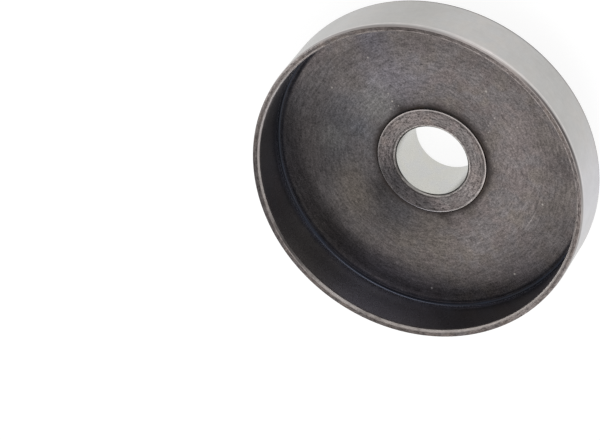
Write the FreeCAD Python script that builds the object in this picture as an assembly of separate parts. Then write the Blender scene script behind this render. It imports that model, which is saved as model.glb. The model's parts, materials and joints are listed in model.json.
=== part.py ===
import FreeCAD, Part
import math
import os

# Clutch drum of a chainsaw: a drawn and turned steel cup, brazed on a splined hub.
# Millimetres, +Z out of the cup's mouth. The drum stands on the end of its hub, mouth up,
# and the origin is on the axis in that end face. +X runs through the middle of one key.

Vector = FreeCAD.Vector

# Cup: the shoe track is the turned inner wall that the clutch shoes grip
TRACK_DIAMETER = 70.0
TRACK_WALL = 1.4
CUP_HEIGHT = 13.9
WEB_THICKNESS = 2.3
CUP_OUTER_CORNER_RADIUS = 1.2
CUP_INNER_CORNER_RADIUS = 0.6
MOUTH_LEAD_IN_WIDTH = 0.3
MOUTH_LEAD_IN_HEIGHT = 0.6
MOUTH_TAPER_WIDTH = 0.12
MOUTH_TAPER_HEIGHT = 0.85
WEB_HOLE_CHAMFER = 0.3

# Hub: a bored spigot through the web, a collar behind it and the splined shank
BORE_DIAMETER = 16.0
BORE_MOUTH_CHAMFER = 0.4
BORE_END_CHAMFER = 0.3
SPIGOT_DIAMETER = 24.3
SPIGOT_STANDS_PROUD = 0.5
SPIGOT_EDGE_CHAMFER = 0.25
COLLAR_DIAMETER = 28.0
COLLAR_THICKNESS = 1.2
COLLAR_EDGE_CHAMFER = 0.4
SHANK_LENGTH = 9.7

# Splines: keys with sloping flanks that pass on the drive
SPLINE_COUNT = 7
SPLINE_OUTER_DIAMETER = 25.0
SPLINE_ROOT_DIAMETER = 22.0
SPLINE_TIP_WIDTH = 2.0
SPLINE_BASE_WIDTH = 3.5
SPLINE_ROOT_RADIUS = 0.35
SPLINE_TIP_RADIUS = 0.25
SPLINE_LEAD_IN_WIDTH = 0.9
SPLINE_LEAD_IN_HEIGHT = 0.7

# Fit: room for the brazing metal all round the spigot
BRAZE_CLEARANCE = 0.05

# Heights that follow from the sizes above
CUP_BACK = SHANK_LENGTH + COLLAR_THICKNESS
WEB_FACE = CUP_BACK + WEB_THICKNESS
MOUTH_PLANE = CUP_BACK + CUP_HEIGHT
SPIGOT_FACE = WEB_FACE + SPIGOT_STANDS_PROUD

# Two coordinates nearer than this are the same
SAME_PLACE = 1e-6


def rounded_wire(corners):
    """Closed section through (radius, height, rounding) corners, with a tangent arc at each rounding."""
    points = [Vector(radius, 0, height) for radius, height, rounding in corners]
    straight_ends = []
    edges = []
    for index, corner in enumerate(points):
        rounding = corners[index][2]
        back = (points[index - 1] - corner).normalize()
        ahead = (points[(index + 1) % len(points)] - corner).normalize()
        half_angle = back.getAngle(ahead) / 2
        setback = rounding / math.tan(half_angle)
        start = corner + back * setback
        end = corner + ahead * setback
        straight_ends.append((start, end))
        if rounding > 0:
            inward = (back + ahead).normalize()
            middle = corner + inward * (rounding / math.sin(half_angle) - rounding)
            edges.append(Part.Arc(start, middle, end).toShape())
    for index, (start, end) in enumerate(straight_ends):
        edges.append(Part.makeLine(straight_ends[index - 1][1], start))
    return Part.Wire(Part.__sortEdges__(edges))


def turned(corners):
    """Solid turned about the axis from a section of (radius, height, rounding) corners."""
    section = Part.Face(rounded_wire(corners))
    return section.revolve(Vector(0, 0, 0), Vector(0, 0, 1), 360)


def on_circle(diameter, angle):
    """Point on a circle about the axis, at height zero."""
    return Vector(diameter / 2 * math.cos(angle), diameter / 2 * math.sin(angle), 0)


def splined_outline():
    """Outline of the shank: keys with sloping flanks and round tips, joined by root arcs."""
    pitch = 2 * math.pi / SPLINE_COUNT
    half_tip = math.asin(SPLINE_TIP_WIDTH / SPLINE_OUTER_DIAMETER)
    half_base = math.asin(SPLINE_BASE_WIDTH / SPLINE_ROOT_DIAMETER)
    edges = []
    for key in range(SPLINE_COUNT):
        middle = key * pitch
        base_start = on_circle(SPLINE_ROOT_DIAMETER, middle - half_base)
        tip_start = on_circle(SPLINE_OUTER_DIAMETER, middle - half_tip)
        tip_middle = on_circle(SPLINE_OUTER_DIAMETER, middle)
        tip_end = on_circle(SPLINE_OUTER_DIAMETER, middle + half_tip)
        base_end = on_circle(SPLINE_ROOT_DIAMETER, middle + half_base)
        root_middle = on_circle(SPLINE_ROOT_DIAMETER, middle + pitch / 2)
        next_base = on_circle(SPLINE_ROOT_DIAMETER, middle + pitch - half_base)
        edges.append(Part.makeLine(base_start, tip_start))
        edges.append(Part.Arc(tip_start, tip_middle, tip_end).toShape())
        edges.append(Part.makeLine(tip_end, base_end))
        edges.append(Part.Arc(base_end, root_middle, next_base).toShape())
    return Part.Wire(Part.__sortEdges__(edges))


def upright_edges(solid, diameter):
    """Straight edges of the solid that stand along the axis at the given diameter."""
    found = []
    for edge in solid.Edges:
        low, high = edge.Vertexes[0].Point, edge.Vertexes[-1].Point
        sideways = math.hypot(high.x - low.x, high.y - low.y)
        off_circle = abs(math.hypot(low.x, low.y) - diameter / 2)
        if sideways < SAME_PLACE < abs(high.z - low.z) and off_circle < SAME_PLACE:
            found.append(edge)
    return found


def splined_bar(length):
    """Straight splined bar from height zero up, with rounded root corners and key edges."""
    bar = Part.Face(splined_outline()).extrude(Vector(0, 0, length))
    bar = bar.makeFillet(SPLINE_ROOT_RADIUS, upright_edges(bar, SPLINE_ROOT_DIAMETER))
    return bar.makeFillet(SPLINE_TIP_RADIUS, upright_edges(bar, SPLINE_OUTER_DIAMETER))


def drum_cup():
    """Cup: track wall, flat web with the hub's hole, rounded back corner and tapered mouth."""
    track = TRACK_DIAMETER / 2
    outside = track + TRACK_WALL
    hole = SPIGOT_DIAMETER / 2 + BRAZE_CLEARANCE
    return turned([
        (hole, CUP_BACK, 0),
        (outside, CUP_BACK, CUP_OUTER_CORNER_RADIUS),
        (outside, MOUTH_PLANE - MOUTH_TAPER_HEIGHT, 0),
        (outside - MOUTH_TAPER_WIDTH, MOUTH_PLANE, 0),
        (track + MOUTH_LEAD_IN_WIDTH, MOUTH_PLANE, 0),
        (track, MOUTH_PLANE - MOUTH_LEAD_IN_HEIGHT, 0),
        (track, WEB_FACE, CUP_INNER_CORNER_RADIUS),
        (hole + WEB_HOLE_CHAMFER, WEB_FACE, 0),
        (hole, WEB_FACE - WEB_HOLE_CHAMFER, 0),
    ])


def hub_head():
    """Head of the hub: the collar that the web sits on and the spigot through the web's hole."""
    bore = BORE_DIAMETER / 2
    spigot = SPIGOT_DIAMETER / 2
    collar = COLLAR_DIAMETER / 2
    return turned([
        (bore, SHANK_LENGTH, 0),
        (collar - COLLAR_EDGE_CHAMFER, SHANK_LENGTH, 0),
        (collar, SHANK_LENGTH + COLLAR_EDGE_CHAMFER, 0),
        (collar, CUP_BACK, 0),
        (spigot, CUP_BACK, 0),
        (spigot, SPIGOT_FACE - SPIGOT_EDGE_CHAMFER, 0),
        (spigot - SPIGOT_EDGE_CHAMFER, SPIGOT_FACE, 0),
        (bore + BORE_MOUTH_CHAMFER, SPIGOT_FACE, 0),
        (bore, SPIGOT_FACE - BORE_MOUTH_CHAMFER, 0),
    ])


def hub_shank():
    """Splined shank: a splined bar, bored through, with its end turned to a lead-in."""
    bore = BORE_DIAMETER / 2
    tip = SPLINE_OUTER_DIAMETER / 2
    turned_blank = turned([
        (bore + BORE_END_CHAMFER, 0, 0),
        (tip - SPLINE_LEAD_IN_WIDTH, 0, 0),
        (tip, SPLINE_LEAD_IN_HEIGHT, 0),
        (tip, SHANK_LENGTH, 0),
        (bore, SHANK_LENGTH, 0),
        (bore, BORE_END_CHAMFER, 0),
    ])
    return splined_bar(SHANK_LENGTH).common(turned_blank)


def splined_hub():
    """Hub in one piece: shank, collar and spigot on one bore."""
    return hub_shank().fuse(hub_head()).removeSplitter()


os.makedirs("parts", exist_ok=True)
for node, shape in (("drum_cup", drum_cup()), ("splined_hub", splined_hub())):
    shape.Solids[0].exportStep("parts/" + node + ".step")
    print(node, "solids:", len(shape.Solids), "valid:", shape.isValid(), "mm3:", round(shape.Volume, 1))
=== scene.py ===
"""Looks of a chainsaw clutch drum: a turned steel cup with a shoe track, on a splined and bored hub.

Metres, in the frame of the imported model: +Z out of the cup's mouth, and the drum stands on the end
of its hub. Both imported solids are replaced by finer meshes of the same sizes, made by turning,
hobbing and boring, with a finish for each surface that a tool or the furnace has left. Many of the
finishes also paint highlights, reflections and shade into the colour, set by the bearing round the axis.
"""

from __future__ import annotations

import json
import logging
import math
from dataclasses import dataclass
from enum import Enum
from typing import Callable, Mapping, Sequence, Union

import bmesh
import bpy
from mathutils import Matrix, Vector


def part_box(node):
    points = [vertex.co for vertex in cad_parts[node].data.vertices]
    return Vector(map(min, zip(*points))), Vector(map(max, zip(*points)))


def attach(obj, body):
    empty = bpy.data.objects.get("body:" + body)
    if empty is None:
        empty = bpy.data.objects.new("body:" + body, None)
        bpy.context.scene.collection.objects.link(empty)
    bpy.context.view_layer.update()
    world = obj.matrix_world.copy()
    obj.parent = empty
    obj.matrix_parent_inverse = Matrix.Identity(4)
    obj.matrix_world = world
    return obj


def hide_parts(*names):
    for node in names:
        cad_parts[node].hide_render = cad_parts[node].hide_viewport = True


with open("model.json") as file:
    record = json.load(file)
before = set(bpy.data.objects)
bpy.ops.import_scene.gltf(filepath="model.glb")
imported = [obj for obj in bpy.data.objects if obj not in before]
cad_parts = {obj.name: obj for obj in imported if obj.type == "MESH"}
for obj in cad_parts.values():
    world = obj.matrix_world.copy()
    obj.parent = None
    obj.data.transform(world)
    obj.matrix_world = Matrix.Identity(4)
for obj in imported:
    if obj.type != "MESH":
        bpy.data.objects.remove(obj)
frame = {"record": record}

LOG = logging.getLogger("clutch_drum")

MM = 0.001
ROOT = "root"
CREASE = 22.0

# A colour has three channels, and a corner of a turned section a radius and a height.
Colour = tuple[float, float, float]
Corner = tuple[float, float]
Number = Union[float, "Field"]
Shade = Union[Colour, "Tone"]


def linear(colour: Colour) -> Colour:
    """Turns a display colour, 0 to 255 a channel, into the one from 0 to 1 that a shader takes.

    Args:
        colour: Red, green and blue as a screen shows them.

    Returns:
        The same colour with linear channels.
    """
    def channel(value: float) -> float:
        """One channel of it."""
        part = value / 255
        return part / 12.92 if part <= 0.04045 else ((part + 0.055) / 1.055) ** 2.4

    red, green, blue = (channel(value) for value in colour)
    return red, green, blue


class Wire:
    """An output socket of a graph, which other nodes are fed from."""

    def __init__(self, graph: "Graph", socket: bpy.types.NodeSocket) -> None:
        """Takes the socket and the graph that it is in."""
        self.graph = graph
        self.socket = socket


class Field(Wire):
    """A number that changes over a surface, and that adds Math nodes when reckoned with."""

    def reckon(self, operation: str, *others: Number) -> Field:
        """Adds one Math node with this field first.

        Args:
            operation: The Math node's operation.
            others: What its second and third sockets get.

        Returns:
            The node's result.
        """
        sockets = dict(enumerate((self, *others)))
        node = self.graph.node("ShaderNodeMath", {"operation": operation}, sockets)
        return Field(self.graph, node.outputs[0])

    def __add__(self, other: Number) -> Field:
        """Sum."""
        return self.reckon("ADD", other)

    __radd__ = __add__

    def __mul__(self, other: Number) -> Field:
        """Product."""
        return self.reckon("MULTIPLY", other)

    __rmul__ = __mul__

    def __sub__(self, other: Number) -> Field:
        """Difference."""
        return self.reckon("SUBTRACT", other)

    def __rsub__(self, other: Number) -> Field:
        """A number less this field."""
        return self.reckon("MULTIPLY_ADD", -1.0, other)

    def __truediv__(self, other: Number) -> Field:
        """Quotient."""
        return self.reckon("DIVIDE", other)

    def __rtruediv__(self, other: float) -> Field:
        """A number over this field."""
        return self.reckon("POWER", -1.0) * other

    def __pow__(self, other: Number) -> Field:
        """Power."""
        return self.reckon("POWER", other)

    def most(self, other: Number) -> Field:
        """The larger of the two."""
        return self.reckon("MAXIMUM", other)

    def swing(self) -> Field:
        """A texture from 0 to 1, turned to swing from -1 to 1."""
        return self.reckon("MULTIPLY_ADD", 2.0, -1.0)

    def between(self, low: float, high: float) -> Field:
        """Smooth step over this field.

        Args:
            low: Value where the step is 0.
            high: Value where it is 1, which may be the smaller of the two.

        Returns:
            Values from 0 to 1.
        """
        ends = {"Value": self, "From Min": low, "From Max": high}
        node = self.graph.node("ShaderNodeMapRange", {"interpolation_type": "SMOOTHSTEP"}, ends)
        return Field(self.graph, node.outputs["Result"])


class Tone(Wire):
    """A colour, or a place, that changes over a surface."""

    def toward(self, colour: Colour, share: Number) -> Tone:
        """Mixes this tone with a display colour, by a share from 0 to 1."""
        return self.graph.mix(self, colour, share)

    def times(self, strength: Number) -> Tone:
        """Scales this tone, so that a colour is lighter or darker.

        Args:
            strength: What each channel is multiplied by.

        Returns:
            The scaled tone.
        """
        sockets = {"Vector": self, "Scale": strength}
        node = self.graph.node("ShaderNodeVectorMath", {"operation": "SCALE"}, sockets)
        return Tone(self.graph, node.outputs["Vector"])


class Graph:
    """Node tree of one material, where every node comes from one method.

    MIXED is the number of a Mix node's colour output.
    """

    MIXED = 2

    def __init__(self, tree: bpy.types.NodeTree) -> None:
        """Takes over an empty tree."""
        self.tree = tree
        tree.nodes.clear()

    def node(
        self,
        kind: str,
        settings: Mapping[str, object] | None = None,
        sockets: Mapping[Union[str, int], object] | None = None,
    ) -> bpy.types.Node:
        """Adds a node, sets it and then feeds its sockets.

        Args:
            kind: Type of the node.
            settings: Its properties.
            sockets: Values or links, by the name, identifier or number of the socket.

        Returns:
            The node.
        """
        made = self.tree.nodes.new(kind)
        for key, value in (settings or {}).items():
            setattr(made, key, value)
        for key, value in (sockets or {}).items():
            self.feed(self.socket(made, key), value)
        return made

    @staticmethod
    def socket(node: bpy.types.Node, key: Union[str, int]) -> bpy.types.NodeSocket:
        """Finds an input socket.

        Args:
            node: The node.
            key: The socket's number, its identifier or its name.

        Returns:
            The input.
        """
        if isinstance(key, int):
            return node.inputs[key]
        named = [one for one in node.inputs if one.identifier == key]
        return named[0] if named else node.inputs[key]

    def feed(self, socket: bpy.types.NodeSocket, value: object) -> None:
        """Feeds an input socket.

        Args:
            socket: The input.
            value: A field, a tone or an output that is linked to it, or a plain value.
        """
        if isinstance(value, Wire):
            value = value.socket
        if isinstance(value, bpy.types.NodeSocket):
            self.tree.links.new(value, socket)
        elif socket.type == "RGBA":
            socket.default_value = (*value, 1.0)
        else:
            socket.default_value = value

    def mix(self, start: Shade, end: Colour, share: Number) -> Tone:
        """Mixes two colours.

        Args:
            start: Tone or display colour where the share is 0.
            end: Display colour where the share is 1.
            share: From 0 to 1.

        Returns:
            The mix.
        """
        first = start if isinstance(start, Tone) else linear(start)
        sockets = {"Factor_Float": share, "A_Color": first, "B_Color": linear(end)}
        node = self.node("ShaderNodeMix", {"data_type": "RGBA"}, sockets)
        return Tone(self, node.outputs[self.MIXED])

    def join(self, x: Number, y: Number, z: Number) -> Tone:
        """Three fields as one vector."""
        node = self.node("ShaderNodeCombineXYZ", None, {"X": x, "Y": y, "Z": z})
        return Tone(self, node.outputs["Vector"])


class Run(Enum):
    """Which way a tool ran over a surface, so which way its marks repeat."""

    FACE = "rings on a flat face"
    WALL = "hoops on an upright wall"


class Surface(Graph):
    """Graph of a metal finish, with the places on the drum that its patterns follow, in millimetres.

    A dot is whole up to CORE of its radius, and LEAST keeps an empty cell's radius above 0.
    """

    CORE = 0.4
    LEAST = 1e-4

    def __init__(self, name: str) -> None:
        """Makes the material and reads the place of a point.

        Args:
            name: Name of the material.
        """
        self.material = bpy.data.materials.new(name)
        self.material.use_nodes = True
        super().__init__(self.material.node_tree)
        coordinates = self.node("ShaderNodeTexCoord").outputs["Object"]
        self.place = Tone(self, coordinates).times(1 / MM)
        parts = self.node("ShaderNodeSeparateXYZ", None, {"Vector": self.place}).outputs
        self.x, self.y, self.height = (Field(self, part) for part in parts)
        self.radius = (self.x * self.x + self.y * self.y) ** 0.5

    def noise(self, at: Tone, size: float, detail: float = 2.0, rough: float = 0.5) -> Field:
        """Soft random texture.

        Args:
            at: Where it is read.
            size: Size of its features, in the units of the place.
            detail: How many finer layers it has.
            rough: How strong the finer layers are.

        Returns:
            Values from 0 to 1, mostly near the middle.
        """
        sockets = {"Vector": at, "Scale": 1 / size, "Detail": detail, "Roughness": rough}
        return Field(self, self.node("ShaderNodeTexNoise", None, sockets).outputs[0])

    def specks(self, dots: Dots) -> Field:
        """Small dots in a few cells of a random pattern.

        Args:
            dots: Their sizes and number.

        Returns:
            1 in a strong dot and 0 elsewhere.
        """
        node = self.node("ShaderNodeTexVoronoi", None, {"Vector": self.place, "Scale": 1 / dots.pitch})
        distance = Field(self, node.outputs["Distance"])
        parts = self.node("ShaderNodeSeparateColor", None, {"Color": node.outputs["Color"]}).outputs
        chosen = Field(self, parts[0]).between(dots.empty, 1.0)
        return (distance / (chosen * dots.share + self.LEAST)).between(1.0, self.CORE) * chosen

    def marks(self, run: Run, pitch: float, breaks: float) -> Field:
        """Marks of the tool, which run round the axis and fade in and out on the way.

        Args:
            run: Flat face or upright wall.
            pitch: Distance between the marks, in millimetres.
            breaks: How often a mark changes on its way round.

        Returns:
            Values from 0 to 1.
        """
        across = self.radius if run is Run.FACE else self.height
        turn = breaks / self.radius
        at = self.join(self.x * turn, self.y * turn, across / pitch)
        return self.noise(at, size=1.0, rough=0.8)

    def near(self, patch: Patch) -> Field:
        """1 in the middle of a patch and 0 outside it."""
        return self.beyond(patch.bearing, patch.radius).between(patch.reach, 0.0)

    def beyond(self, bearing: float, radius: float) -> Field:
        """Distance over the face from a point, in millimetres.

        Args:
            bearing: The point's angle from +X, in degrees.
            radius: Its distance from the axis.

        Returns:
            The distance, whatever the height.
        """
        angle = math.radians(bearing)
        across = self.x - radius * math.cos(angle)
        along = self.y - radius * math.sin(angle)
        return (across * across + along * along) ** 0.5

    def finish(self, colour: Tone, roughness: Field, relief: Field, depth: float) -> bpy.types.Material:
        """Closes the graph with a metal shader.

        Args:
            colour: Base colour.
            roughness: Roughness of the metal.
            relief: Relief, from -1 to 1.
            depth: Height of the relief where it is 1, in millimetres.

        Returns:
            The material.
        """
        bump = self.node("ShaderNodeBump", None, {"Distance": depth * MM, "Height": relief})
        shader = self.node("ShaderNodeBsdfPrincipled", None, {
            "Base Color": colour, "Metallic": 1.0, "Roughness": roughness, "Normal": bump.outputs["Normal"],
        })
        self.node("ShaderNodeOutputMaterial", None, {"Surface": shader.outputs[0]})
        return self.material


@dataclass(frozen=True)
class Patch:
    """Soft round area of the drum, in degrees from +X and in millimetres from the axis."""

    bearing: float
    radius: float
    reach: float


@dataclass(frozen=True)
class StainAndLight(Patch):
    """Patch of another colour: oxide where the steel was hotter or lay against something, and also painted
    highlights, reflections and shade.
    """

    tone: Colour
    strength: float


def around(radius: float, *rows: tuple[float, float, Colour, float]) -> tuple[StainAndLight, ...]:
    """Makes stains and painted-light patches that share one radius, each given by its bearing, reach, tone
    and strength.
    """
    return tuple(StainAndLight(bearing, radius, reach, tone, strength) for bearing, reach, tone, strength in rows)


@dataclass(frozen=True)
class Hoop:
    """Thin line round the axis in another colour: a rubbed edge or a tool's stop, and also painted
    highlight, reflection and shade lines.

    It lies where the line's measure, a radius, a height or an angle, is at its middle. It may be
    broken in places, or show only within a patch.
    """

    middle: float
    reach: float
    tone: Colour
    strength: float
    breaks: float = 0.0
    within: Patch | None = None


@dataclass(frozen=True)
class Dots:
    """Small dots, of which each fills up to a share of its cell in a pattern where some stay empty."""

    pitch: float
    share: float
    empty: float
    tone: Colour
    strength: float


@dataclass(frozen=True)
class SteelFinish:
    """Steel surface with a fine speckle, blotches and the marks of the tool that cut it, under stains and
    hoops that also paint highlights, reflections and shade.

    All colours are display colours. Sizes are in millimetres: grain for the speckle, cut_pitch from
    mark to mark, and depth for the relief. A glint over 1 sharpens the light and dark grains. BROAD,
    DRIFT, MIDDLE and BREAK are the sizes of the other textures, and WARM, COOL and GAP the values
    between which one brings in the warm tint, the cool tint and a gap in a hoop.
    """

    BROAD = 6.0
    DRIFT = 3.6
    MIDDLE = 1.3
    BREAK = 3.0
    WARM = (0.42, 0.62)
    COOL = (0.44, 0.64)
    GAP = (0.32, 0.56)
    DARKEST = 0.1

    tone: Colour
    warm: Colour
    cool: Colour
    run: Run = Run.FACE
    grain: float = 0.36
    speckle: float = 0.10
    mottle: float = 0.08
    blotch: float = 0.08
    cut: float = 0.08
    cut_pitch: float = 0.22
    cut_breaks: float = 9.0
    glint: float = 1.0
    roughness: float = 0.45
    rough_change: float = 0.10
    depth: float = 0.006
    stains_and_light: tuple[StainAndLight, ...] = ()
    hoops: tuple[Hoop, ...] = ()

    def colour(self, surface: Surface, fine: Field, cut: Field) -> Tone:
        """Base colour: the steel's tone between its warm and cool tints, broken by the speckle.

        Args:
            surface: Graph that it is built in.
            fine: Speckle, from -1 to 1.
            cut: Marks of the tool, from -1 to 1.

        Returns:
            The colour.
        """
        broad = surface.noise(surface.place, self.BROAD, detail=1.0)
        drift = surface.noise(surface.place, self.DRIFT, detail=1.0, rough=0.6)
        tone = surface.mix(self.tone, self.warm, broad.between(*self.WARM))
        tone = self.worn(surface, tone.toward(self.cool, drift.between(*self.COOL)))
        # Stains, then hoops: oxide and tool marks, and also painted highlights, reflections and shade.
        for spot in self.stains_and_light:
            tone = tone.toward(spot.tone, surface.near(spot) * spot.strength)
        for hoop in self.hoops:
            line = (self.across(surface) - hoop.middle).reckon("ABSOLUTE").between(hoop.reach, 0.0)
            if hoop.within:
                line = line * surface.near(hoop.within)
            if hoop.breaks:
                gaps = surface.noise(surface.place, self.BREAK).between(*self.GAP)
                line = line * (1.0 - gaps * hoop.breaks)
            tone = tone.toward(hoop.tone, line * hoop.strength)
        middle = surface.noise(surface.place, self.MIDDLE, detail=1.0, rough=0.8).swing()
        strength = 1.0 + fine * self.speckle + middle * self.mottle + cut * self.cut
        clouds = (drift + broad - 1.0) * (self.blotch * 2)
        return tone.times((strength + clouds).most(self.DARKEST) ** self.glint)

    def worn(self, surface: Surface, tone: Tone) -> Tone:
        """Tone with the rubbed places, of which plain steel has none."""
        return tone

    def across(self, surface: Surface) -> Field:
        """Measure that the hoops go by: the radius on a face and the height on a wall."""
        return surface.radius if self.run is Run.FACE else surface.height

    def material(self, name: str) -> bpy.types.Material:
        """Builds the material of this finish.

        Args:
            name: Name of the material.

        Returns:
            The material.
        """
        surface = Surface(name)
        fine = surface.noise(surface.place, self.grain, detail=1.0, rough=1.0).swing()
        cut = surface.marks(self.run, self.cut_pitch, self.cut_breaks).swing()
        colour = self.colour(surface, fine, cut)
        roughness = self.roughness + fine * self.rough_change - cut * (self.rough_change * 0.5)
        relief = fine * 0.5 + cut * 0.5
        return surface.finish(colour, roughness, relief, self.depth)


@dataclass(frozen=True)
class ScaledWebAndShade(SteelFinish):
    """Dark mottled heat scale with a dark ring round the hub, the halo: braze stain and painted shade.

    It has pits, bare specks, and drops of bare metal in each patch of spatter. The halo's edge has
    waves of the size WANDER and the height SWAY.
    """

    WANDER = 2.4
    SWAY = 0.6

    halo_inside: float = 12.1
    halo_outside: float = 14.1
    halo_shift: float = 0.05
    halo_bearing: float = 300.0
    halo_tone: Colour = (46, 41, 40)
    halo_strength: float = 0.95
    pits: Dots = Dots(1.5, 0.2, 0.7, (52, 49, 50), 0.5)
    bare: Dots = Dots(2.4, 0.14, 0.75, (190, 184, 178), 0.5)
    drops: Dots = Dots(0.8, 0.4, 0.5, (190, 184, 178), 0.65)
    spatter: tuple[Patch, ...] = (Patch(338, 15.4, 4.5), Patch(246, 15.6, 4.0))

    def colour(self, surface: Surface, fine: Field, cut: Field) -> Tone:
        """Colour of the scale with everything that lies on it.

        Args:
            surface: Graph that it is built in.
            fine: Speckle, from -1 to 1.
            cut: Marks of the tool, from -1 to 1.

        Returns:
            The colour.
        """
        tone = super().colour(surface, fine, cut)
        for dots in (self.pits, self.bare):
            tone = tone.toward(dots.tone, surface.specks(dots) * dots.strength)
        drops = surface.specks(self.drops)
        for patch in self.spatter:
            tone = tone.toward(self.drops.tone, drops * surface.near(patch) * self.drops.strength)
        # The halo: braze stain together with painted shade of the raised spigot on the web.
        wander = surface.noise(surface.place, self.WANDER).swing() * self.SWAY
        distance = surface.beyond(self.halo_bearing, self.halo_shift) + wander
        halo = distance.between(self.halo_outside, self.halo_inside)
        return tone.toward(self.halo_tone, halo * self.halo_strength)


@dataclass(frozen=True)
class WornEdge(SteelFinish):
    """Edge that handling has rubbed bright over the cover's share, with scale left in places.

    RUB is the size of the rubbed places. With no cover the bright metal comes through between START
    and END of their texture, and a whole cover lowers the two by START_FALL and END_FALL.
    """

    RUB = 2.6
    START = 0.62
    END = 0.72
    START_FALL = 0.4
    END_FALL = 0.2

    bright: Colour = (142, 136, 132)
    cover: float = 0.8

    def worn(self, surface: Surface, tone: Tone) -> Tone:
        """Adds the bright metal that shows through the scale.

        Args:
            surface: Graph that it is built in.
            tone: Colour so far.

        Returns:
            The colour of the edge.
        """
        rubbed = surface.noise(surface.place, self.RUB, detail=3.0, rough=0.65)
        start = self.START - self.cover * self.START_FALL
        end = self.END - self.cover * self.END_FALL
        return tone.toward(self.bright, rubbed.between(start, end))


@dataclass(frozen=True)
class CornerScaleAndHighlight(SteelFinish):
    """Blue-black scale and painted shade in the inside corner; its hoops, by the angle round the corner's
    arc, paint a highlight line.

    The angle is 0 where the corner meets the track and 90 where it meets the web.
    """

    centre_radius: float = 34.4
    centre_height: float = 13.8

    def across(self, surface: Surface) -> Field:
        """Angle round the corner's arc.

        Args:
            surface: Graph that it is built in.

        Returns:
            The angle, in degrees.
        """
        outward = surface.radius - self.centre_radius
        down = self.centre_height - surface.height
        return down.reckon("ARCTAN2", outward) * (180 / math.pi)


class Bench:
    """One mesh on the bench, shaped in edit mode by operators on what is picked by its place.

    NEAR is how far from a place a corner may be and still count, and doubles within DOUBLE are merged.
    """

    NEAR = 0.004 * MM
    DOUBLE = 1e-7

    def __init__(self, name: str, radius: float, low: float, high: float, sides: int) -> None:
        """Puts a round blank on the bench and opens it for editing.

        Args:
            name: Name of the piece.
            radius: Radius of the blank.
            low: Height of its lower end.
            high: Height of its upper end.
            sides: Number of its side faces.
        """
        bpy.ops.object.select_all(action="DESELECT")
        bpy.ops.mesh.primitive_cylinder_add(
            vertices=sides, radius=radius, depth=high - low, location=(0, 0, (low + high) / 2)
        )
        self.piece = bpy.context.object
        self.piece.name = name
        self.piece.data.name = name
        bpy.ops.object.transform_apply(location=True, rotation=True, scale=True)
        bpy.ops.object.mode_set(mode="EDIT")
        bpy.ops.mesh.select_all(action="DESELECT")

    def pick(self, kind: str, wanted: Callable[[list[Vector]], bool]) -> None:
        """Selects faces or edges, and nothing else.

        Args:
            kind: FACE or EDGE.
            wanted: Says from the corners of one whether it is picked.
        """
        bpy.ops.mesh.select_mode(type=kind)
        bpy.ops.mesh.select_all(action="DESELECT")
        mesh = bmesh.from_edit_mesh(self.piece.data)
        every = mesh.faces if kind == "FACE" else mesh.edges
        for one in [one for one in every if wanted([vert.co for vert in one.verts])]:
            one.select_set(True)
        bmesh.update_edit_mesh(self.piece.data)

    def pick_cap(self, height: float) -> None:
        """Selects the flat face across the axis at a height."""
        cap = Vector((0, 0, height))
        self.pick("FACE", lambda corners: (sum(corners, Vector()) / len(corners) - cap).length < self.NEAR)

    def pick_hoops(self, *hoops: Corner) -> None:
        """Selects rings of edges.

        Args:
            hoops: Radius and height of each ring.
        """
        def on_hoop(ends: list[Vector]) -> bool:
            """Whether both ends of an edge lie on one of the rings."""
            return any(
                all(abs(end.xy.length - wide) < self.NEAR and abs(end.z - high) < self.NEAR for end in ends)
                for wide, high in hoops
            )

        self.pick("EDGE", on_hoop)

    def step(self, radius: float, height: float) -> None:
        """Extrudes the picked cap in place, then brings its new rim to a radius and a height.

        Args:
            radius: Radius of the new rim.
            height: Height of the new rim.
        """
        mesh = bmesh.from_edit_mesh(self.piece.data)
        rim = [one for one in mesh.verts if one.select]
        was_radius = max(one.co.xy.length for one in rim)
        was_height = rim[0].co.z
        bpy.ops.mesh.extrude_region_move()
        scale = radius / was_radius
        bpy.ops.transform.resize(value=(scale, scale, 1), center_override=(0, 0, was_height))
        bpy.ops.transform.translate(value=(0, 0, height - was_height))

    def cut(self, cap_height: float, steps: Sequence[Corner]) -> None:
        """Turns the blank's end to a stepped section, from the rim inwards.

        Args:
            cap_height: Height of the end that is turned.
            steps: Radius and height of each corner of the section.
        """
        self.pick_cap(cap_height)
        for radius, height in steps:
            self.step(radius, height)

    def open_cap(self) -> None:
        """Takes away the picked cap, so that its rim is open."""
        bpy.ops.mesh.delete(type="ONLY_FACE")

    def join_rims(self, first: Corner, second: Corner) -> None:
        """Bridges two open rims, each given by its radius and height."""
        self.pick_hoops(first, second)
        bpy.ops.mesh.bridge_edge_loops()

    @staticmethod
    def bevel(size: float, segments: int) -> None:
        """Bevels the picked edges.

        Args:
            size: Width of the bevel on each side of an edge.
            segments: 1 for a chamfer and more for a round.
        """
        bpy.ops.mesh.bevel(
            offset_type="OFFSET", offset=size, segments=segments, profile=0.5, affect="EDGES"
        )

    def round_hoop(self, radius: float, height: float, size: float, segments: int) -> None:
        """Bevels the ring of edges at a radius and a height."""
        self.pick_hoops((radius, height))
        self.bevel(size, segments)

    def close(self) -> bpy.types.Object:
        """Merges doubles, turns the normals outwards and leaves edit mode.

        Returns:
            The piece.
        """
        bpy.ops.mesh.select_all(action="SELECT")
        bpy.ops.mesh.remove_doubles(threshold=self.DOUBLE)
        bpy.ops.mesh.normals_make_consistent(inside=False)
        bpy.ops.mesh.select_all(action="DESELECT")
        bpy.ops.object.mode_set(mode="OBJECT")
        return self.piece


def select_only(piece: bpy.types.Object) -> None:
    """Makes a piece the one selected and active object.

    Args:
        piece: The piece.
    """
    bpy.ops.object.select_all(action="DESELECT")
    piece.select_set(True)
    bpy.context.view_layer.objects.active = piece


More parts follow.
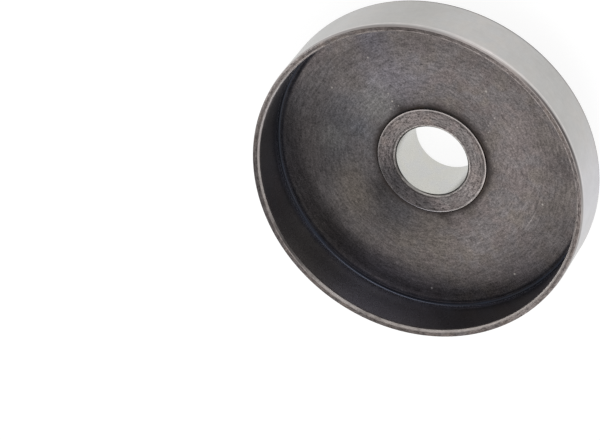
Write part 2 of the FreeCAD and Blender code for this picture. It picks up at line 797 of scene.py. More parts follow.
def combine(piece: bpy.types.Object, tool: bpy.types.Object, operation: str) -> None:
    """Applies a Boolean modifier and takes the tool away.

    Args:
        piece: What is cut or added to.
        tool: What cuts or is added.
        operation: UNION, DIFFERENCE or INTERSECT.
    """
    select_only(piece)
    modifier = piece.modifiers.new("combine", "BOOLEAN")
    modifier.operation = operation
    modifier.solver = "EXACT"
    modifier.object = tool
    bpy.ops.object.modifier_apply(modifier=modifier.name)
    bpy.data.objects.remove(tool)


def smooth(piece: bpy.types.Object) -> None:
    """Shades the rounds smooth and keeps the flats flat, with an edge over CREASE degrees left sharp.

    Args:
        piece: Piece to shade.
    """
    select_only(piece)
    bpy.ops.object.shade_smooth_by_angle(angle=math.radians(CREASE))
    modifier = piece.modifiers.new("flats", "WEIGHTED_NORMAL")
    modifier.keep_sharp = True
    bpy.ops.object.modifier_apply(modifier=modifier.name)


def dress(
    piece: bpy.types.Object,
    finishes: Mapping[Enum, SteelFinish],
    zone_of: Callable[[float, float, Vector], Enum],
) -> None:
    """Gives each face the finish of its zone.

    Args:
        piece: Piece to dress.
        finishes: The finish of each zone, whose value names its material.
        zone_of: Tells a face's zone from its radius, its height and its normal.
    """
    zones = list(finishes)
    for zone in zones:
        piece.data.materials.append(finishes[zone].material(zone.value))
    for face in piece.data.polygons:
        zone = zone_of(face.center.xy.length, face.center.z, face.normal)
        face.material_index = zones.index(zone)


def hand_over(piece: bpy.types.Object, node: str) -> None:
    """Puts a finished piece on the drum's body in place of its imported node.

    Args:
        piece: The finished piece.
        node: Node that it replaces.
    """
    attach(piece, ROOT)
    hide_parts(node)
    faces = len(piece.data.polygons)
    LOG.info("%s: %d faces, %d finishes", piece.name, faces, len(piece.data.materials))


class CupZone(Enum):
    """Surfaces of the cup that differ in finish, with the names of their materials."""

    WALL = "ground_wall"
    BACK_CORNER = "corner_scale"
    BACK = "back_scale"
    TAPER = "taper_scale_and_reflection"
    OUTER_EDGE = "mouth_outer_edge"
    MOUTH = "faced_mouth"
    INNER_EDGE = "mouth_inner_edge"
    LEAD_IN = "lead_in"
    TRACK = "track_scale_and_reflection"
    CORNER = "inside_corner_and_highlight"
    WEB = "web_scale_and_shade"
    HOLE = "hole_scale"


@dataclass
class DrumCup:
    """The drawn and turned cup with its shoe track and its flat web.

    A face is flat, or upright, where its slope is off by less than TRUE.
    """

    TRUE = 0.001

    finishes: Mapping[CupZone, SteelFinish]
    outside: float
    back: float
    mouth: float
    track: float
    web_thickness: float = 2.3 * MM
    outer_corner: float = 1.2 * MM
    inner_corner: float = 0.6 * MM
    lead_in_width: float = 0.3 * MM
    lead_in_height: float = 0.6 * MM
    taper_width: float = 0.12 * MM
    taper_height: float = 0.85 * MM
    inner_break: float = 0.08 * MM
    outer_break: float = 0.03 * MM
    hole: float = 12.2 * MM
    hole_chamfer: float = 0.3 * MM
    web_rings: int = 6
    sides: int = 288
    round_segments: int = 10
    break_segments: int = 2

    @property
    def web(self) -> float:
        """Height of the web's upper face."""
        return self.back + self.web_thickness

    def rings(self, outer: float, inner: float) -> list[float]:
        """Radii that divide a flat face into even rings, without its outer edge."""
        count = self.web_rings
        return [outer + (inner - outer) * index / count for index in range(1, count + 1)]

    def turn(self) -> bpy.types.Object:
        """Turns the cup from a round blank.

        Returns:
            The cup, without its finishes.
        """
        shoulder = self.mouth - self.taper_height
        bench = Bench("cup_turned", self.outside, self.back, shoulder, self.sides)
        inner_flat = self.track - self.inner_corner * 2
        mouth_outside = self.outside - self.taper_width
        mouth_inside = self.track + self.lead_in_width
        bench.cut(shoulder, [
            (mouth_outside, self.mouth),
            (mouth_inside, self.mouth),
            (self.track, self.mouth - self.lead_in_height),
            (self.track, self.web),
            (inner_flat, self.web),
            *((radius, self.web) for radius in self.rings(inner_flat, self.hole + self.hole_chamfer)),
            (self.hole, self.web - self.hole_chamfer),
        ])
        bench.open_cap()
        back_flat = self.outside - self.outer_corner * 2
        bench.cut(self.back, [
            (back_flat, self.back),
            *((radius, self.back) for radius in self.rings(back_flat, self.hole)),
        ])
        bench.open_cap()
        bench.join_rims((self.hole, self.web - self.hole_chamfer), (self.hole, self.back))
        bench.round_hoop(self.outside, self.back, self.outer_corner, self.round_segments)
        bench.round_hoop(self.track, self.web, self.inner_corner, self.round_segments)
        bench.round_hoop(mouth_outside, self.mouth, self.outer_break, self.break_segments)
        bench.round_hoop(mouth_inside, self.mouth, self.inner_break, self.break_segments)
        return bench.close()

    def zone_of(self, radius: float, height: float, normal: Vector) -> CupZone:
        """Tells which surface a face belongs to.

        Args:
            radius: Distance of its middle from the axis.
            height: Height of its middle.
            normal: Its normal.

        Returns:
            The zone.
        """
        flat = abs(normal.z) > 1 - self.TRUE
        upright = abs(normal.z) < self.TRUE
        outer = radius > self.outside - self.taper_width - self.outer_break
        if height > self.mouth - (self.outer_break if outer else self.inner_break):
            return CupZone.MOUTH if flat else CupZone.OUTER_EDGE if outer else CupZone.INNER_EDGE
        if radius > self.outside - self.taper_width and height > self.mouth - self.taper_height:
            return CupZone.TAPER
        if radius > self.track + self.lead_in_width:
            return CupZone.WALL if upright else CupZone.BACK if flat else CupZone.BACK_CORNER
        if height > self.mouth - self.lead_in_height:
            return CupZone.LEAD_IN
        if height < self.back + Bench.NEAR:
            return CupZone.BACK
        if radius < self.hole + self.hole_chamfer and height < self.web - Bench.NEAR:
            return CupZone.HOLE
        if flat:
            return CupZone.WEB
        return CupZone.TRACK if upright else CupZone.CORNER

    def make(self) -> None:
        """Builds the cup, dresses it and hands it over."""
        piece = self.turn()
        smooth(piece)
        dress(piece, self.finishes, self.zone_of)
        hand_over(piece, "drum_cup")


class HubZone(Enum):
    """Surfaces of the hub that differ in finish, with the names of their materials."""

    SPIGOT_FACE = "spigot_scale_and_light"
    SPIGOT_EDGE = "spigot_edge"
    BEAD = "braze_bead"
    BORE_EDGE = "bore_edge"
    BORE_CHAMFER = "bore_chamfer"
    BORE = "honed_bore"
    SIDES = "hub_scale"
    SPLINES = "spline_scale"


@dataclass
class SplinedHub:
    """The hub: spigot in the web's hole, collar behind it and splined shank, on one bore.

    A face is flat, or upright, where its slope is off by less than TRUE. Upright edges of the shank
    are told apart by their distance from a key's middle, in sides of the blank, give or take HALF.
    """

    TRUE = 0.01
    STEEP = 0.9
    HALF = 0.5

    finishes: Mapping[HubZone, SteelFinish]
    end: float
    spigot_face: float
    collar: float
    bore: float
    seat: float
    web: float
    spigot: float = 12.15 * MM
    spigot_edge: float = 0.25 * MM
    bead_width: float = 0.38 * MM
    bead_height: float = 0.22 * MM
    bead_root: float = 0.3 * MM
    bead_lap: float = 0.01 * MM
    bead_hollow: float = 0.35
    collar_thickness: float = 1.2 * MM
    collar_edge: float = 0.4 * MM
    bore_mouth: float = 0.4 * MM
    bore_end: float = 0.3 * MM
    key_count: int = 7
    key_tip: float = 12.5 * MM
    key_root: float = 11.0 * MM
    tip_half_steps: int = 5
    base_half_steps: int = 10
    root_round: float = 0.35 * MM
    tip_round: float = 0.25 * MM
    lead_in_width: float = 0.9 * MM
    lead_in_height: float = 0.7 * MM
    steps_per_key: int = 56
    key_segments: int = 4
    edge_segments: int = 2

    @property
    def shank_top(self) -> float:
        """Height where the shank meets the collar."""
        return self.seat - self.collar_thickness

    @property
    def sides(self) -> int:
        """Number of side faces of the round blanks, a whole number for each key."""
        return self.key_count * self.steps_per_key

    def steps_from_key(self, point: Vector) -> float:
        """Angle from the middle of the nearest key to a point.

        Args:
            point: The point.

        Returns:
            The angle, in sides of the blank.
        """
        step = 2 * math.pi / self.sides
        turned = math.atan2(point.y, point.x) / step
        half = self.steps_per_key / 2
        return abs((turned + half) % self.steps_per_key - half)

    def pick_uprights(self, bench: Bench, low: float, high: float) -> None:
        """Selects the shank's upright edges in a range of angles from the middle of a key.

        Args:
            bench: Bench with the shank on it.
            low: Least angle, in sides of the blank.
            high: Greatest angle.
        """
        bench.pick(
            "EDGE",
            lambda ends: abs(ends[0].z - ends[1].z) > self.collar_thickness
            and low < self.steps_from_key(ends[0]) < high,
        )

    def hob(self) -> bpy.types.Object:
        """Cuts the splines from a round bar as thick as the key tips.

        Returns:
            The splined bar, which reaches up into the collar.
        """
        high = self.seat - self.collar_thickness / 2
        bench = Bench("shank_hobbed", self.key_tip, self.end, high, self.sides)
        self.pick_uprights(bench, self.tip_half_steps + self.HALF, self.base_half_steps - self.HALF)
        bpy.ops.mesh.dissolve_edges(use_verts=True)
        self.pick_uprights(bench, self.base_half_steps - self.HALF, math.inf)
        scale = self.key_root / self.key_tip
        bpy.ops.transform.resize(value=(scale, scale, 1), center_override=(0, 0, 0))
        for steps, size in ((self.base_half_steps, self.root_round), (self.tip_half_steps, self.tip_round)):
            self.pick_uprights(bench, steps - self.HALF, steps + self.HALF)
            bench.bevel(size, self.key_segments)
        return bench.close()

    def lead_in_blank(self) -> bpy.types.Object:
        """Makes the round solid that the shank's end is turned to.

        Returns:
            The solid, whose lower end has the lead-in cone.
        """
        clear_of_tips = self.key_tip * 1.02
        shoulder = self.end + self.lead_in_height
        bench = Bench("lead_in_blank", clear_of_tips, shoulder, self.seat, self.sides)
        bench.cut(shoulder, [(self.key_tip, shoulder), (self.key_tip - self.lead_in_width, self.end)])
        return bench.close()

    def head(self) -> bpy.types.Object:
        """Turns the collar and the spigot from one blank, with the hollow bead of brazing metal.

        Returns:
            The head, not bored yet.
        """
        bench = Bench("hub_turned", self.collar, self.shank_top, self.seat, self.sides)
        hollow = self.bead_hollow
        bench.cut(self.seat, [
            (self.spigot, self.seat),
            (self.spigot, self.web - self.bead_root),
            (self.spigot + self.bead_width, self.web + self.bead_lap),
            (self.spigot + self.bead_width * hollow, self.web + self.bead_height * hollow),
            (self.spigot, self.web + self.bead_height),
            (self.spigot, self.spigot_face),
        ])
        bench.round_hoop(self.collar, self.shank_top, self.collar_edge, 1)
        bench.round_hoop(self.spigot, self.spigot_face, self.spigot_edge, self.edge_segments)
        return bench.close()

    def borer(self) -> bpy.types.Object:
        """Makes the tool that bores the hub and breaks both edges of the bore.

        Returns:
            The solid that is cut away.
        """
        low = self.end + self.bore_end
        high = self.spigot_face - self.bore_mouth
        clear = 1.0 * MM
        bench = Bench("borer", self.bore, low, high, self.sides)
        half = self.bore_mouth / 2
        bench.cut(high, [
            (self.bore + half, high + half),
            (self.bore + self.bore_mouth + clear, self.spigot_face + clear),
        ])
        bench.cut(low, [(self.bore + self.bore_end + clear, self.end - clear)])
        return bench.close()

    def zone_of(self, radius: float, height: float, normal: Vector) -> HubZone:
        """Tells which surface a face belongs to.

        Args:
            radius: Distance of its middle from the axis.
            height: Height of its middle.
            normal: Its normal.

        Returns:
            The zone.
        """
        inside = radius < self.bore + self.bore_mouth + Bench.NEAR
        slope = abs(normal.z)
        if inside and slope < self.TRUE:
            return HubZone.BORE
        if inside and self.TRUE < slope < 1 - self.TRUE:
            worn = radius > self.bore + self.bore_mouth / 2
            return HubZone.BORE_EDGE if worn else HubZone.BORE_CHAMFER
        if height > self.spigot_face - Bench.NEAR:
            return HubZone.SPIGOT_FACE
        if self.seat < height < self.web + self.bead_height:
            return HubZone.BEAD
        if height > self.seat and normal.z > self.TRUE:
            return HubZone.SPIGOT_EDGE
        if height < self.shank_top - Bench.NEAR and slope < self.STEEP:
            return HubZone.SPLINES
        return HubZone.SIDES

    def make(self) -> None:
        """Builds the hub, dresses it and hands it over."""
        piece = self.head()
        shank = self.hob()
        combine(shank, self.lead_in_blank(), "INTERSECT")
        combine(piece, shank, "UNION")
        combine(piece, self.borer(), "DIFFERENCE")
        smooth(piece)
        dress(piece, self.finishes, self.zone_of)
        hand_over(piece, "splined_hub")


@dataclass(frozen=True)
class Camera:
    """Camera at the photograph's viewing angle, turned about its own line of sight."""

    aim: tuple[float, float, float] = (14.64 * MM, 24.90 * MM, 24.8 * MM)
    distance: float = 782.8 * MM
    elevation: float = 54.982
    roll: float = -142.734
    lens: float = 220.3
    nearest: float = 0.01
    farthest: float = 100.0

    def make(self) -> None:
        """Adds the camera and makes it the scene's own."""
        data = bpy.data.cameras.new("camera")
        data.lens = self.lens
        data.clip_start = self.nearest
        data.clip_end = self.farthest
        camera = bpy.data.objects.new("camera", data)
        bpy.context.scene.collection.objects.link(camera)
        tilt = Matrix.Rotation(math.radians(90 - self.elevation), 4, "X")
        turn = Matrix.Rotation(math.radians(self.roll), 4, "Z")
        back = tilt @ Vector((0, 0, self.distance))
        camera.matrix_world = Matrix.Translation(Vector(self.aim) + back) @ tilt @ turn
        bpy.context.scene.camera = camera


@dataclass(frozen=True)
class SoftLamp:
    """Large square lamp that shines on the drum."""

    name: str
    bearing: float
    elevation: float
    distance: float
    size: float
    watts: float

    def make(self) -> None:
        """Adds the lamp."""
        data = bpy.data.lights.new(self.name, "AREA")
        data.size = self.size
        data.energy = self.watts
        lamp = bpy.data.objects.new(self.name, data)
        bpy.context.scene.collection.objects.link(lamp)
        angle, rise = math.radians(self.bearing), math.radians(self.elevation)
        out = Vector((math.cos(angle) * math.cos(rise), math.sin(angle) * math.cos(rise), math.sin(rise)))
        turned = out.to_track_quat("Z", "Y").to_matrix().to_4x4()
        lamp.matrix_world = Matrix.Translation(out * self.distance) @ turned


@dataclass(frozen=True)
class Studio:
    """White tent with a pale floor, which still takes the drum's shadow."""

    floor_size: float = 6.0
    floor_gap: float = 0.02 * MM
    floor_glow: float = 0.88
    floor_colour: Colour = (0.2, 0.2, 0.2)
    tent_light: float = 0.85
    lamps: tuple[SoftLamp, ...] = (
        SoftLamp("key", bearing=150, elevation=60, distance=0.9, size=0.6, watts=1.5),
    )

    @staticmethod
    def seen(graph: Graph) -> Field:
        """Tells the rays that see from those that only light.

        Args:
            graph: Graph that it is built in.

        Returns:
            1 for a ray from the camera, or one that mirrors or passes through something, else 0.
        """
        paths = graph.node("ShaderNodeLightPath").outputs
        direct, mirrored, passed = (
            Field(graph, paths[name]) for name in ("Is Camera Ray", "Is Glossy Ray", "Is Transmission Ray")
        )
        return direct.most(mirrored).most(passed)

    def floor(self) -> None:
        """Adds the floor, white to the eye and a little darker in the drum's shadow."""
        bpy.ops.object.select_all(action="DESELECT")
        bpy.ops.mesh.primitive_plane_add(size=self.floor_size, location=(0, 0, -self.floor_gap))
        floor = bpy.context.object
        floor.name = "studio_floor"
        material = bpy.data.materials.new("studio_floor")
        material.use_nodes = True
        graph = Graph(material.node_tree)
        glow = graph.node("ShaderNodeEmission", None, {"Strength": self.seen(graph) * self.floor_glow})
        paper = graph.node("ShaderNodeBsdfDiffuse", None, {"Color": self.floor_colour})
        both = graph.node("ShaderNodeAddShader", None, {0: glow.outputs[0], 1: paper.outputs[0]})
        graph.node("ShaderNodeOutputMaterial", None, {"Surface": both.outputs[0]})
        floor.data.materials.append(material)

    def tent(self) -> None:
        """Sets the world: white to the eye and in mirrored rays, a little less as light."""
        world = bpy.data.worlds.new("tent")
        world.use_nodes = True
        graph = Graph(world.node_tree)
        strength = self.seen(graph) * (1.0 - self.tent_light) + self.tent_light
        white = {"Color": (1.0, 1.0, 1.0), "Strength": strength}
        background = graph.node("ShaderNodeBackground", None, white)
        graph.node("ShaderNodeOutputWorld", None, {"Surface": background.outputs[0]})
        bpy.context.scene.world = world

    def make(self) -> None:
        """Sets up the floor, the tent and the lamps."""
        bpy.context.scene.view_settings.view_transform = "Standard"
        self.floor()
        self.tent()
        for lamp in self.lamps:
            lamp.make()


# Finishes of the cup. Each stain and then each hoop lies over the ones before it. Besides oxide and tool
# marks, many of them are painted highlights, reflections and shade, set by bearing.
CUP_FINISHES: Mapping[CupZone, SteelFinish] = {
    # Wall: its stains make it lighter and darker by bearing; its hoops under the taper are painted
    # highlight and shade lines.
    CupZone.WALL: SteelFinish(
        (187, 185, 183), (189, 186, 183), (185, 184, 183), run=Run.WALL, speckle=0.06, mottle=0.05,
        blotch=0.05, cut_pitch=0.2, cut_breaks=5.0, roughness=0.34, rough_change=0.03, depth=0.0012,
        stains_and_light=around(
            36.4, (252, 20, (178, 177, 175), 0.7), (308, 15, (175, 174, 171), 0.7),
            (345, 16, (181, 181, 179), 0.8), (212, 18, (199, 198, 202), 0.9),
        ),
        hoops=(
            Hoop(23.2, 0.4, (216, 209, 207), 0.8, breaks=0.5),
            Hoop(23.6, 0.4, (240, 233, 231), 0.8, breaks=0.3, within=Patch(274, 36.4, 16)),
            Hoop(23.88, 0.42, (110, 105, 103), 0.85, within=Patch(230, 36.4, 26)),
            Hoop(23.75, 0.75, (112, 107, 105), 0.8, within=Patch(196, 36.4, 13)),
            Hoop(23.9, 0.45, (116, 110, 108), 0.85, within=Patch(329, 36.4, 20)),
        ),
    ),
    CupZone.BACK_CORNER: SteelFinish((128, 123, 121), (130, 123, 119), (122, 120, 121), run=Run.WALL),
    CupZone.BACK: SteelFinish(
        (112, 106, 104), (113, 106, 103), (107, 103, 103), cut=0.14, cut_pitch=0.4, cut_breaks=5.0,
    ),
    # Taper: its stains and hoops are painted reflection, darker and lighter bands and lines by bearing.
    CupZone.TAPER: SteelFinish(
        (164, 157, 155), (167, 158, 154), (158, 153, 152), run=Run.WALL, blotch=0.06, cut=0.14,
        cut_pitch=0.12, cut_breaks=4.0, roughness=0.36, rough_change=0.04, depth=0.002,
        stains_and_light=around(
            36.4, (242, 20, (78, 71, 70), 1.0), (222, 8, (112, 104, 103), 0.7), (234, 8, (66, 60, 59), 0.5),
            (256, 7, (84, 78, 77), 0.5), (281, 6, (170, 163, 161), 0.7), (319, 22, (136, 130, 128), 0.95),
            (199, 13, (130, 124, 122), 0.9),
        ),
        hoops=(
            Hoop(24.05, 0.3, (222, 215, 213), 0.8, within=Patch(279, 36.4, 13)),
            Hoop(24.75, 0.3, (150, 143, 140), 0.8, within=Patch(243, 36.4, 20)),
        ),
    ),
    # Outer edge of the mouth: its stains are painted reflection, dark at bearings 90 and 306 and light at
    # 244.
    CupZone.OUTER_EDGE: WornEdge(
        (126, 119, 116), (130, 121, 117), (120, 116, 115), bright=(172, 165, 162), roughness=0.36,
        stains_and_light=around(
            36.4, (90, 46, (50, 46, 45), 0.95), (306, 30, (68, 62, 60), 0.95),
            (244, 20, (196, 188, 185), 0.85),
        ),
    ),
    # Mouth face: its stains are painted reflection by bearing; its hoops, light and dark lines along both
    # edges, are rubbed wear together with painted highlight and shade.
    CupZone.MOUTH: SteelFinish(
        (100, 93, 91), (103, 95, 91), (94, 89, 88), speckle=0.8, mottle=0.25, blotch=0.1, cut=1.3,
        cut_pitch=0.28, cut_breaks=30.0, roughness=0.34, rough_change=0.05,
        stains_and_light=around(
            35.8, (46, 20, (76, 72, 72), 0.9), (305, 12, (82, 76, 74), 0.8),
            (267, 10, (116, 108, 106), 0.7), (0, 12, (116, 110, 108), 0.6), (214, 8, (116, 108, 106), 0.7),
            (118, 9, (86, 80, 78), 0.7), (167, 8, (138, 130, 128), 0.55),
        ),
        hoops=(
            Hoop(35.42, 0.24, (166, 157, 155), 1.0, breaks=0.3, within=Patch(268, 28, 50)),
            Hoop(35.34, 0.24, (182, 173, 170), 0.65, within=Patch(204, 35.4, 14)),
            Hoop(36.1, 0.3, (164, 156, 154), 0.45, within=Patch(188, 36, 12)),
            Hoop(35.4, 0.14, (126, 119, 116), 0.5, breaks=0.4),
            Hoop(35.5, 0.22, (62, 58, 56), 0.7, within=Patch(30, 35.5, 22)),
            Hoop(36.1, 0.3, (160, 153, 151), 0.75, within=Patch(356, 36, 24)),
            Hoop(36.15, 0.25, (136, 128, 126), 0.3, within=Patch(236, 36, 26)),
        ),
    ),
    # Inner edge of the mouth: its stains are painted reflection, darker and lighter by bearing.
    CupZone.INNER_EDGE: WornEdge(
        (116, 109, 107), (120, 111, 107), (109, 105, 104), bright=(148, 140, 137), roughness=0.36,
        stains_and_light=around(
            35, (36, 24, (70, 66, 65), 0.9), (226, 18, (82, 77, 75), 0.9), (304, 11, (84, 78, 76), 0.9),
            (184, 10, (176, 168, 165), 0.9), (345, 7, (190, 181, 177), 0.85),
        ),
    ),
    # Lead-in: its near-white stains are painted highlights, and the dark one at bearing 68 painted shade.
    CupZone.LEAD_IN: WornEdge(
        (176, 169, 165), (180, 171, 166), (168, 163, 161), bright=(204, 197, 193), cover=0.7,
        roughness=0.56,
        stains_and_light=around(
            35, (158, 28, (234, 226, 221), 1.0), (12, 28, (238, 231, 229), 1.0),
            (68, 13, (96, 92, 91), 0.95), (92, 6, (212, 206, 204), 0.8), (3, 7, (255, 250, 248), 0.9),
            (183, 12, (255, 249, 245), 1.0),
        ),
    ),
    # Track: its stains and hoops are painted reflection, bluish light and dark by bearing, with light bands
    # at its foot and top.
    CupZone.TRACK: SteelFinish(
        (112, 111, 117), (113, 110, 115), (108, 109, 116), run=Run.WALL, speckle=0.03, mottle=0.05,
        blotch=0.06, cut=0.05, cut_pitch=0.3, cut_breaks=4.0, roughness=0.28, rough_change=0.02,
        depth=0.0008,
        stains_and_light=around(
            35, (97, 27, (203, 206, 222), 1.0), (162, 26, (75, 76, 83), 1.0), (22, 16, (71, 71, 75), 1.0),
            (74, 17, (172, 171, 168), 0.85), (3, 7, (160, 158, 159), 0.8), (182, 8, (124, 120, 121), 0.9),
        ),
        hoops=(
            Hoop(13.9, 1.4, (184, 185, 196), 0.8),
            Hoop(14.0, 2.6, (190, 187, 189), 0.9, within=Patch(4, 35, 13)),
            Hoop(24.2, 1.0, (162, 159, 158), 0.6),
            Hoop(24.6, 4.2, (246, 242, 240), 0.95, within=Patch(4, 35, 14)),
        ),
    ),
    # Inside corner: dark scale together with painted shade, and its hoops paint the bluish highlight line
    # along the fillet.
    CupZone.CORNER: CornerScaleAndHighlight(
        (42, 43, 49), (42, 43, 48), (40, 43, 51), speckle=0.05, mottle=0.05, cut=0.05, roughness=0.28,
        rough_change=0.03, depth=0.001,
        stains_and_light=around(34.5, (33, 15, (31, 33, 38), 0.9), (112, 24, (24, 25, 31), 0.95)),
        hoops=(
            Hoop(31.0, 18.0, (118, 123, 140), 1.0, within=Patch(105, 34.5, 28)),
            Hoop(8.0, 20.0, (184, 186, 201), 1.0),
            Hoop(12.0, 38.0, (236, 233, 238), 0.95, within=Patch(2, 34.8, 9)),
        ),
    ),
    # Web: its stains make it darker towards bearing 45 and round the spigot and vary it in small places;
    # its hoops from 28 to 34 mm are painted shade, darker towards the wall, and those at 24.2 and 24.45 mm
    # are tool marks.
    CupZone.WEB: ScaledWebAndShade(
        (115, 107, 106), (115, 108, 104), (111, 106, 106), grain=0.4, speckle=0.4, mottle=0.17, blotch=0.05,
        cut=0.34, cut_pitch=0.5, cut_breaks=10.0, glint=2.0, roughness=0.27, rough_change=0.04, depth=0.004,
        stains_and_light=(
            StainAndLight(45, 26, 37, (74, 73, 75), 0.9), StainAndLight(332, 20, 15, (113, 110, 117), 0.7),
            StainAndLight(330, 29, 6, (98, 98, 110), 0.7), StainAndLight(350, 16.5, 8, (117, 116, 113), 0.6),
            StainAndLight(352, 24, 5, (105, 98, 90), 0.6), StainAndLight(15, 26, 11, (72, 75, 82), 0.6),
            StainAndLight(15, 17, 5, (86, 88, 94), 0.6), StainAndLight(50, 20, 7, (89, 82, 76), 0.6),
            StainAndLight(2, 26, 11, (90, 89, 92), 0.6), StainAndLight(112, 21, 17, (86, 80, 75), 0.55),
            StainAndLight(92, 15.5, 9, (66, 65, 68), 0.8), StainAndLight(132, 14.3, 6, (76, 71, 70), 0.5),
            StainAndLight(160, 13.9, 4, (76, 71, 70), 0.5), StainAndLight(36, 27.5, 8, (46, 45, 47), 0.75),
            StainAndLight(68, 21, 8, (97, 90, 83), 0.7), StainAndLight(84, 19, 9, (64, 61, 61), 0.4),
            StainAndLight(70, 13.9, 6, (48, 46, 47), 0.75), StainAndLight(136, 12.6, 2.4, (50, 46, 45), 0.8),
            StainAndLight(38, 21, 6, (96, 95, 98), 0.4), StainAndLight(30, 28.5, 14, (46, 45, 47), 0.9),
            StainAndLight(165, 32, 12, (70, 68, 75), 0.6), StainAndLight(192, 32, 12, (64, 61, 61), 0.5),
            StainAndLight(219, 31, 9, (66, 62, 62), 0.6), StainAndLight(210, 12.6, 2.4, (44, 39, 38), 0.5),
            StainAndLight(335, 13.6, 3, (70, 67, 67), 0.6), StainAndLight(222, 16, 6, (130, 122, 121), 0.5),
            StainAndLight(240, 20, 6, (130, 122, 120), 0.5), StainAndLight(28, 23, 5.5, (104, 103, 102), 0.5),
            StainAndLight(46, 27.8, 5.5, (42, 40, 44), 0.5), StainAndLight(9, 27.6, 5, (66, 64, 66), 0.5),
            StainAndLight(357, 25.6, 4, (124, 117, 116), 0.5), StainAndLight(178, 32.4, 6, (62, 58, 58), 0.5),
            StainAndLight(236, 23, 5, (102, 94, 96), 0.5), StainAndLight(270, 3, 19, (58, 54, 53), 0.95),
        ),
        hoops=(
            Hoop(28.0, 7.5, (88, 83, 82), 0.52),
            Hoop(30.5, 7.5, (66, 63, 64), 0.6, within=Patch(100, 28, 46)),
            Hoop(30.8, 4.6, (30, 28, 30), 0.6, within=Patch(82, 30, 26)),
            Hoop(32.4, 2.4, (26, 25, 27), 0.6, within=Patch(112, 32.4, 30)),
            Hoop(34.05, 0.75, (31, 32, 38), 0.8),
            Hoop(33.9, 0.9, (32, 32, 37), 0.9, within=Patch(2, 34, 18)),
            Hoop(24.45, 0.3, (150, 143, 141), 0.5, within=Patch(188, 24.4, 4.5)),
            Hoop(24.2, 0.3, (72, 68, 67), 0.5, within=Patch(198, 24.2, 4.5)),
        ),
    ),
    CupZone.HOLE: SteelFinish((50, 46, 45), (54, 48, 44), (44, 44, 48)),
}

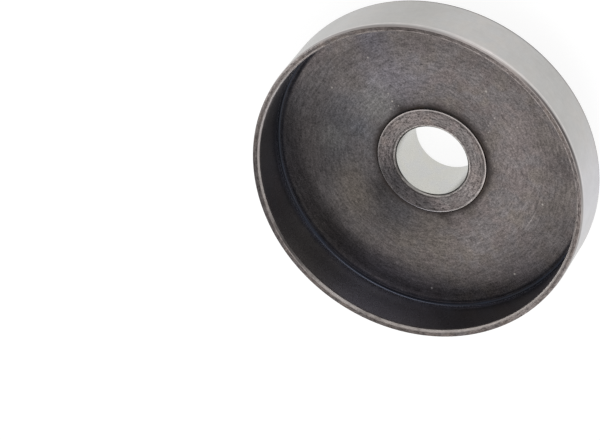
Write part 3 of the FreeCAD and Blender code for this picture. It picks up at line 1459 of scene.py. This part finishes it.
# Finishes of the hub. Many of their stains and hoops are painted highlights, reflections and shade.
HUB_FINISHES: Mapping[HubZone, SteelFinish] = {
    # Spigot face: its stains are oxide together with painted reflection by bearing; its hoops are painted
    # highlight and shade lines along its edges.
    HubZone.SPIGOT_FACE: SteelFinish(
        (120, 112, 111), (122, 113, 110), (115, 110, 109), speckle=1.1, mottle=0.18, cut=1.35,
        cut_pitch=0.38, cut_breaks=8.0, roughness=0.3, rough_change=0.04, depth=0.004,
        stains_and_light=(
            StainAndLight(72, 10, 13, (62, 60, 62), 0.95), StainAndLight(112, 11, 6, (68, 65, 66), 0.8),
            StainAndLight(182, 10, 5, (132, 125, 124), 0.6), StainAndLight(335, 9, 5, (130, 123, 121), 0.6),
            StainAndLight(212, 10.8, 4, (102, 96, 95), 0.5), StainAndLight(5, 11.4, 3, (98, 92, 91), 0.6),
            StainAndLight(212, 8.9, 2, (140, 132, 130), 0.4), StainAndLight(150, 11.4, 3, (98, 91, 89), 0.5),
            StainAndLight(290, 10.8, 3, (104, 97, 96), 0.5), StainAndLight(163, 11.2, 4, (98, 92, 91), 0.5),
        ),
        hoops=(
            Hoop(11.8, 0.9, (84, 78, 77), 0.65, within=Patch(262, 12, 16)),
            Hoop(11.55, 0.3, (74, 70, 69), 0.55, breaks=0.4),
            Hoop(8.85, 0.3, (76, 72, 71), 0.5, breaks=0.4), Hoop(8.44, 0.16, (190, 184, 181), 0.8),
            Hoop(8.62, 0.42, (54, 51, 50), 1.0, breaks=0.2, within=Patch(84, 8.5, 18)),
            Hoop(11.9, 0.4, (176, 170, 169), 0.7, within=Patch(180, 11.8, 7)),
        ),
    ),
    # Spigot edge: the near-white stain at bearing 131 is a painted highlight, and the other stains are
    # painted reflection by bearing.
    HubZone.SPIGOT_EDGE: WornEdge(
        (150, 143, 140), (154, 145, 140), (142, 139, 138), bright=(190, 182, 179), roughness=0.34,
        stains_and_light=around(
            12, (60, 14, (146, 143, 144), 0.95), (131, 8, (255, 248, 243), 1.0),
            (184, 4.5, (132, 126, 123), 0.6), (213, 7, (144, 137, 135), 0.9),
            (242, 5, (146, 139, 137), 0.7), (290, 9, (186, 179, 176), 0.8),
        ),
    ),
    # Bead: its light hoop near bearing 48 is a painted highlight along the edge of the spigot.
    HubZone.BEAD: SteelFinish(
        (48, 43, 41), (51, 45, 41), (43, 41, 41), roughness=0.34,
        stains_and_light=around(
            12.4, (222, 5, (40, 35, 34), 0.9), (92, 4.5, (70, 67, 66), 0.9), (2, 3, (60, 56, 54), 0.8),
        ),
        hoops=(Hoop(12.15, 0.16, (132, 127, 124), 0.8, within=Patch(48, 12.3, 11)),),
    ),
    # Bore edge: its near-white stains are painted highlights, and the dark one at bearing 60 painted shade.
    HubZone.BORE_EDGE: WornEdge(
        (168, 162, 158), (171, 164, 158), (160, 157, 155), bright=(206, 200, 196), roughness=0.32,
        stains_and_light=around(
            8, (60, 9, (100, 96, 94), 1.0), (92, 5, (136, 133, 130), 0.9), (142, 6, (126, 122, 119), 0.9),
            (182, 4, (246, 240, 236), 0.9), (5, 5, (230, 225, 221), 0.8), (270, 9, (252, 246, 242), 1.0),
        ),
    ),
    # Bore chamfer: its light stains at bearings 92 and 280 are painted reflection.
    HubZone.BORE_CHAMFER: SteelFinish(
        (58, 56, 54), (61, 57, 54), (54, 54, 54),
        stains_and_light=around(8.2, (92, 4, (140, 138, 135), 1.0), (280, 5, (120, 116, 113), 0.8)),
    ),
    # Bore: its two darker stains, at bearings 0 and 182, are painted reflection.
    HubZone.BORE: SteelFinish(
        (205, 205, 200), (206, 205, 199), (203, 203, 201), run=Run.WALL, speckle=0.01, mottle=0.01,
        blotch=0.02, cut=0.015, cut_pitch=0.15, cut_breaks=5.0, roughness=0.28, rough_change=0.02,
        depth=0.0006,
        stains_and_light=around(8, (0, 4.0, (140, 138, 134), 0.9), (182, 4.4, (128, 126, 123), 0.9)),
    ),
    HubZone.SIDES: SteelFinish((118, 112, 109), (121, 113, 108), (111, 108, 108)),
    HubZone.SPLINES: WornEdge((120, 114, 111), (122, 115, 110), (115, 112, 111), run=Run.WALL, cover=0.5),
}


def mount_radius(name: str) -> float:
    """Radius of a bore mount of the record, in metres."""
    mounts = frame["record"]["mounts"]
    return next(one["dims"]["r_mm"] for one in mounts if one["name"] == name) * MM


def main() -> None:
    """Builds the drum and the studio round it."""
    logging.basicConfig(level=logging.INFO, format="%(name)s: %(message)s")
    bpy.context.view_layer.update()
    Camera().make()
    Studio().make()
    cup_low, cup_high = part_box("drum_cup")
    hub_low, hub_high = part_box("splined_hub")
    cup = DrumCup(
        outside=cup_high.x, back=cup_low.z, mouth=cup_high.z, track=mount_radius("shoe_track"),
        finishes=CUP_FINISHES,
    )
    hub = SplinedHub(
        end=hub_low.z, spigot_face=hub_high.z, collar=hub_high.x, bore=mount_radius("needle_cage_bore"),
        seat=cup.back, web=cup.web, finishes=HUB_FINISHES,
    )
    cup.make()
    hub.make()


if __name__ == "__main__":
    main()
